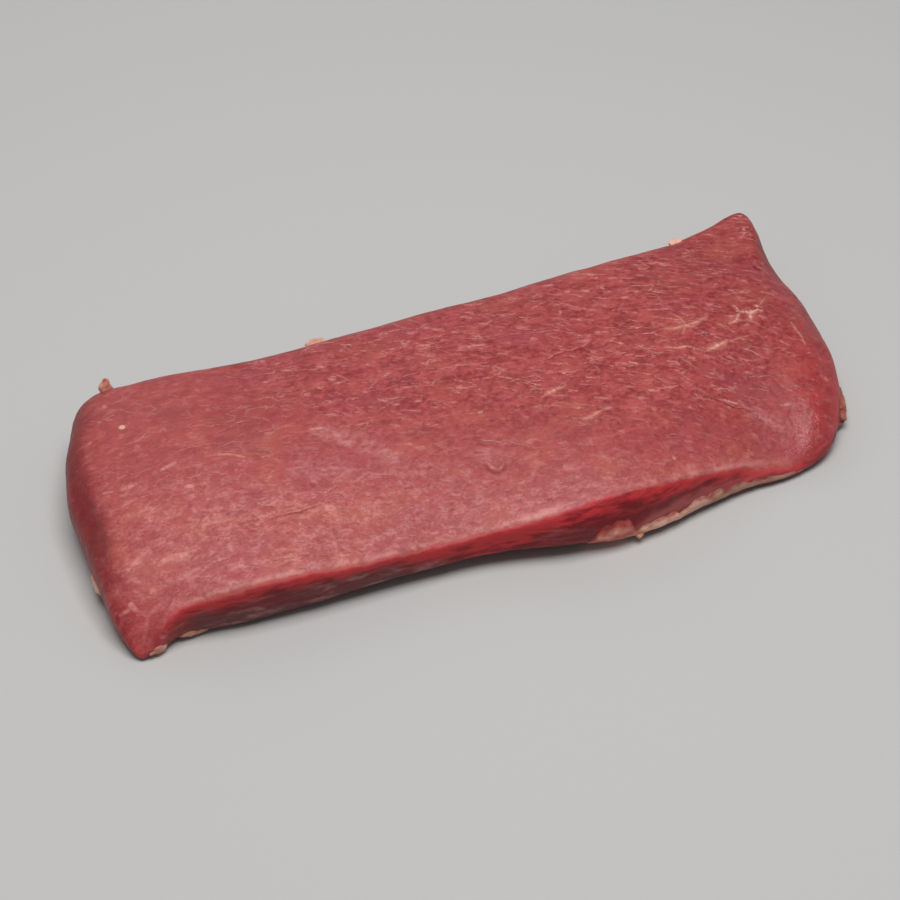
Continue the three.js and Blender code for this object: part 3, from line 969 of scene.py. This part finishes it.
def smooth_line(points, step):
    """Evenly spaced spots along a smooth curve through points."""
    points = np.asarray(points, float)
    lengths = np.r_[0, np.cumsum(np.linalg.norm(np.diff(points, axis=0), axis=1))]
    count = max(4, int(lengths[-1] / step))
    dense = np.linspace(0, lengths[-1], count)
    spots = np.stack([np.interp(dense, lengths, axis) for axis in points.T], axis=1)
    for _ in range(2):
        spots[1:-1] = (spots[:-2] + 2 * spots[1:-1] + spots[2:]) / 4
    return spots


def surface_line(tree, pixels, step):
    return smooth_line([land(tree, pixel) for pixel in pixels], step)


def waver(spots, axis, by, size, seed):
    """Moves spots along an axis by smooth noise."""
    spots[:, axis] = spots[:, axis] + by * field(spots, (size, size, size), seed + axis)


# Marbling that shows on the top: half width in millimetres, paleness, pixels along each line
MARBLING = (
    (0.55, 1.2, (736, 311), (746, 312), (752, 312), (758, 309), (763, 312)),
    (0.55, 1.0, (758, 311), (756, 304)),
    (0.55, 1.0, (749, 311), (751, 316), (751, 321)),
    (0.4, 0.9, (740, 311), (737, 318), (736, 321), (728, 324)),
    (0.4, 0.9, (740, 313), (736, 307), (731, 304)),
    (0.3, 0.6, (739, 316), (728, 316)),
    (0.35, 0.6, (758, 307), (765, 298)),
    (0.35, 0.7, (744, 326), (748, 324), (752, 327)),
    (0.55, 0.8, (661, 329), (676, 328), (686, 325), (697, 322), (707, 316)),
    (0.45, 0.6, (686, 325), (680, 318), (674, 314)),
    (0.4, 0.6, (686, 325), (682, 335)),
    (0.35, 0.85, (664, 347), (676, 348), (688, 346), (707, 352)),
    (0.75, 0.95, (707, 351), (718, 345), (728, 341)),
    (0.35, 0.45, (728, 341), (742, 337), (755, 334)),
    (0.65, 0.85, (545, 395), (553, 391), (562, 386)),
    (0.45, 0.6, (556, 391), (567, 384)),
    (0.5, 0.8, (582, 420), (592, 416), (603, 409)),
    (0.4, 0.75, (790, 321), (797, 331), (806, 345)),
    (0.5, 0.8, (808, 352), (810, 354)),
    (0.5, 0.7, (825, 376), (827, 382)),
    (0.5, 0.6, (455, 389), (462, 385)),
    (0.7, 1.1, (673, 459), (676, 458)),
)
# Pale pink streaks on the top, in the same way
STREAKS = (
    (0.3, 0.9, (716, 397), (728, 401), (738, 404), (750, 407)),
    (0.4, 0.6, (722, 296), (735, 293), (750, 290)),
    (0.4, 0.8, (780, 405), (792, 404)),
    (0.45, 1.2, (560, 310), (560, 315)),
    (0.6, 0.8, (564, 292), (570, 291)),
    (0.6, 0.8, (592, 279), (598, 277)),
    (0.4, 0.5, (674, 259), (685, 255)),
    (0.6, 0.6, (499, 314), (506, 316)),
    (0.7, 0.8, (102, 410), (105, 405)),
    (0.6, 0.6, (97, 423), (102, 421)),
    (0.5, 0.6, (86, 446), (92, 442)),
    (0.55, 0.8, (160, 471), (168, 466), (177, 462)),
    (0.7, 0.7, (120, 490), (128, 487), (138, 483)),
    (0.45, 0.7, (101, 494), (116, 491)),
    (0.6, 0.8, (184, 487), (194, 485)),
    (0.6, 0.9, (201, 527), (206, 525)),
    (0.7, 0.8, (122, 577), (132, 567), (142, 556), (150, 548)),
    (0.7, 0.9, (158, 566), (166, 559), (176, 556), (188, 554), (189, 558)),
    (0.8, 0.8, (149, 594), (157, 589)),
    (0.6, 1.2, (130, 602), (132, 607), (138, 611)),
    (0.5, 0.7, (132, 607), (127, 612), (118, 616)),
    (0.5, 0.35, (138, 611), (147, 617), (146, 632), (142, 645)),
    (0.6, 0.5, (147, 617), (156, 608), (166, 602)),
    (0.8, 0.9, (323, 504), (329, 508), (336, 507)),
    (0.35, 0.9, (310, 429), (323, 428)),
    (0.35, 0.8, (354, 426), (369, 423)),
    (0.35, 0.7, (210, 455), (228, 454), (246, 457)),
    (0.5, 0.8, (744, 226), (743, 236)),
    (0.4, 0.5, (713, 288), (717, 282)),
)
# Creases on the top, with a painted highlight on the edge and a painted shadow in the groove: half width in
# millimetres, pixels along each line
CREASES = (
    (0.28, (267, 518), (285, 513), (302, 510), (320, 503)),
    (0.32, (537, 362), (560, 352), (578, 348), (593, 340)),
    (0.6, (310, 480), (318, 484)),
    (0.6, (428, 463), (434, 466)),
    (0.55, (486, 460), (492, 468), (498, 471), (504, 463)),
    (0.24, (700, 392), (716, 398), (735, 406), (752, 410)),
)


def add_wrinkles(lines, slab):
    rng = np.random.default_rng(HIGHLIGHT_SEED)
    for kind, wrinkle in slab.wrinkles:
        spots = np.column_stack((wrinkle.spots, top_height(*wrinkle.spots.T)))
        # Each wrinkle gets a painted highlight on its crest and a painted shadow in its groove
        pale = rng.uniform(*kind["pale"])
        lines.add(spots, wrinkle.fullness, kind["half_width"], FOLD_SECTION, 0, pale, kind["groove_shadow"])


def add_branches(lines, rng, spots, paleness):
    """Short side branches that leave a vein along the grain."""
    fullness = np.linspace(0.9, 0.1, BRANCH["points"])
    pale = BRANCH["pale"] * paleness
    for _ in range(int(len(spots) * paleness / BRANCH["spacing"])):
        start = spots[rng.integers(len(spots))]
        angle = math.atan(fold_slope(start[0])) + rng.normal(0, BRANCH["spread"]) + math.pi * rng.integers(2)
        heading = np.array((math.cos(angle), math.sin(angle), 0))
        reach = np.linspace(0, rng.uniform(*BRANCH["lengths"]), BRANCH["points"])[:, None] * heading
        lines.add(start + reach, fullness, BRANCH["half_width"], VEIN_SECTION, pale, 0, 0)


def add_marbling(lines, slab):
    rng = np.random.default_rng(LINES_SEED)
    for half_width, paleness, *pixels in MARBLING:
        spots = surface_line(slab.tree, pixels, VEIN_STEP)
        for axis in range(2):
            waver(spots, axis, *VEIN_WAVER)
        lines.add(spots, ragged_taper(rng, len(spots)), half_width, VEIN_SECTION, paleness, 0, 0)
        add_branches(lines, rng, spots, paleness)
    for half_width, paleness, *pixels in STREAKS:
        spots = surface_line(slab.tree, pixels, LINE_STEP)
        lines.add(spots, ragged_taper(rng, len(spots)), half_width, STREAK_SECTION, paleness, paleness, 0)
    for half_width, *pixels in CREASES:
        spots = surface_line(slab.tree, pixels, LINE_STEP)
        waver(spots, 1, *CREASE_WAVER)
        lines.add(spots, ragged_taper(rng, len(spots)), half_width, FOLD_SECTION, 0, CREASE_HIGHLIGHT, CREASE_SHADOW)


def ragged_taper(rng, count):
    """Fullness along a line that thins out at both ends and varies on the way."""
    share = np.linspace(0.04, 0.96, count)
    return np.sin(math.pi * share) ** 0.5 * rng.uniform(0.6, 1.0, count)


# Fat

# Divisions of the strips and the scraps
STRIP_STEPS = 240
STRIP_ROWS = 20
SCRAP_ROWS = 24
SCRAP_SIDES = 36
# Y from which the front face is looked at
AHEAD = -80
# X over which the ribbon turns brown
RIBBON_BROWN = (32, 58)


def strip_fullness(strip, share):
    """How full a strip of fat is, from 0 at its ends to 1."""
    return np.sin(math.pi * share ** strip["lean"])


def strip_points(slab, strip, number):
    """Rows of points up the front face, which stand out in the strip's middle and sink in at its edges."""
    share = np.linspace(0.001, 0.999, STRIP_STEPS + 1)
    x = strip["start"] + (strip["end"] - strip["start"]) * share
    fullness = strip_fullness(strip, share)
    along = np.stack((x, np.zeros_like(x), np.full_like(x, number * 40.0)), axis=1)
    ragged = 1 + 0.3 * field(along, (7, 1, 1), 21) + 0.3 * field(along, (2, 1, 1), 22)
    points = []
    for at, full, height in zip(x, fullness, strip["height"] * fullness * ragged):
        for row in range(STRIP_ROWS + 1):
            level = strip["low"] + height * row / STRIP_ROWS
            hit, normal, _, _ = slab.tree.ray_cast(Vector((at, AHEAD, level)), Vector((0, 1, 0)))
            out = strip["out"] * full * math.sin(math.pi * row / STRIP_ROWS) ** 0.6 - 0.05
            points.append(np.array(hit) + np.array(normal) * out)
    points = np.array(points)
    rough = 0.12 * field(points, (3, 2, 2), 23) + 0.08 * field(points, (1, 1, 1), 24)
    points[:, 1] = points[:, 1] - np.maximum(rough, -0.1)
    return points


def strip_values(strip, points):
    """Shares of red, brown and meat on a strip, whose upper edge is torn; the brown is painted shade along
    the lower edge and a tan towards the right.
    """
    upper = np.tile(np.linspace(0, 1, STRIP_ROWS + 1), STRIP_STEPS + 1)
    red = strip["red"] * fade(upper, 0.05, 0.35) + 0.9 * field(points, (3, 2, 2), 25)
    red = red + 0.4 * field(points, (1.4, 0.9, 0.9), 26) + 0.5 * fade(upper, 0.7, 1)
    # Painted shade along the lower edge, and a real tan towards the right end of the ribbon
    brown = strip["brown"] * (1 - fade(upper, 0, 0.3)) + 0.65 * fade(points[:, 0], *RIBBON_BROWN)
    torn = upper + 0.3 * field(points, (2, 1.5, 1.5), 27)
    meat_share = max(strip["red"], 0.5) * fade(torn, 0.65, 1)
    return {"place": points, "red": np.clip(red, 0, 1), "brown": brown, "meat": meat_share}


def face_fat(slab, material):
    """Strips of fat that lie on the lower face of the front."""
    for number, strip in enumerate(FACE_FAT):
        points = strip_points(slab, strip, number)
        index = np.arange(len(points)).reshape(STRIP_STEPS + 1, STRIP_ROWS + 1)
        quads = np.stack((index[:-1, :-1], index[1:, :-1], index[1:, 1:], index[:-1, 1:]), axis=-1)
        new_piece(strip["name"], points, quads.reshape(-1, 4).tolist(), material, strip_values(strip, points))


def scrap_points(number, middle, half, turn, point):
    """Rings of points round a rough lump, which stays above the floor."""
    polar = np.linspace(0.02, math.pi - 0.02, SCRAP_ROWS)[:, None]
    angle = 2 * math.pi * np.arange(SCRAP_SIDES)[None] / SCRAP_SIDES
    ball = np.stack((
        np.sin(polar) * np.cos(angle),
        np.sin(polar) * np.sin(angle),
        -np.cos(polar) * np.ones_like(angle),
    ), axis=-1).reshape(-1, 3)
    ball[:, :2] = ball[:, :2] * (1 - point * np.clip(ball[:, 2:], 0, 1))
    ball = ball * np.array(half)
    rough = 0.3 * field(ball, (2, 2, 2), 30 + number) + 0.2 * field(ball, (0.8, 0.8, 0.8), 60 + number)
    ball = ball * (1 + rough)[:, None]
    cos, sin = math.cos(turn), math.sin(turn)
    x, y, z = ball.T
    points = np.stack((x * cos - y * sin, x * sin + y * cos, z), axis=1) + np.array(middle)
    points[:, 2] = np.maximum(points[:, 2], 0.05)
    return points


def fat_scraps(material):
    for number, (*shape, red, brown) in enumerate(FAT_SCRAPS):
        points = scrap_points(number, *shape)
        faces = ring_faces(np.arange(len(points)).reshape(SCRAP_ROWS, SCRAP_SIDES))
        values = {
            "place": points,
            "red": np.clip(red + 0.8 * field(points, (3, 2.4, 2.4), 40), 0, 1),
            "brown": np.full(len(points), float(brown)),
            "meat": np.zeros(len(points)),
        }
        new_piece(f"fat_scrap_{number + 1}", points, faces, material, values)


# Stage, in metres and watts

FLOOR_HALF = 3.0
FLOOR_COLOUR = (0.55, 0.545, 0.535, 1)
LIGHTS = (
    {"name": "overhead", "place": (0.0, -0.12, 0.95), "size": (0.7, 0.6), "power": 7.6},
    {"name": "back", "place": (0.0, 0.8, 0.6), "size": (0.6, 0.6), "power": 1},
)
SKY_STRENGTH = 0.2


def floor():
    mesh = bpy.data.meshes.new("floor")
    corners = [(x * FLOOR_HALF, y * FLOOR_HALF, 0) for x, y in ((-1, -1), (1, -1), (1, 1), (-1, 1))]
    mesh.from_pydata(corners, [], [(0, 1, 2, 3)])
    nodes = Nodes("floor_pale")
    nodes.surface({"Base Color": FLOOR_COLOUR, "Roughness": 0.8})
    mesh.materials.append(nodes.material)
    piece = new_object("floor", mesh)


def area_light(name, place, size, power):
    """A soft rectangle of light that faces the part's middle."""
    data = bpy.data.lights.new(name, "AREA")
    data.shape = "RECTANGLE"
    data.size, data.size_y = size
    data.energy = power
    light = new_object(name, data)
    light.location = place
    light.rotation_euler = (-Vector(place)).to_track_quat("-Z", "Y").to_euler()


def camera():
    place, back = camera_place()
    data = bpy.data.cameras.new("camera")
    data.lens = CAMERA_LENS
    data.sensor_width = CAMERA_SENSOR
    data.clip_start = 0.01
    view = new_object("camera", data)
    view.location = (place + SHIFT) * MM
    view.rotation_euler = Vector(back).to_track_quat("Z", "Y").to_euler()
    bpy.context.scene.camera = view


def stage():
    floor()
    for light in LIGHTS:
        area_light(**light)
    world = bpy.data.worlds.new("studio")
    world.use_nodes = True
    sky = world.node_tree.nodes["Background"]
    sky.inputs["Color"].default_value = (1, 1, 1, 1)
    sky.inputs["Strength"].default_value = SKY_STRENGTH
    bpy.context.scene.world = world
    bpy.context.scene.view_settings.view_transform = "Standard"


slab = Slab()
# From the form's middle to the part's, in millimetres
SHIFT = np.array((cad_high.x / MM - slab.base[:, 0].max(), cad_high.y / MM - slab.base[:, 1].max(), 0))
meat = Meat().material
fat = fat_material()
slab.build(meat)
wrinkles = Lines(slab)
add_wrinkles(wrinkles, slab)
wrinkles.build("wrinkles", meat)
marbling = Lines(slab)
add_marbling(marbling, slab)
marbling.build("marbling", meat)
face_fat(slab, fat)
fat_scraps(fat)
camera()
stage()
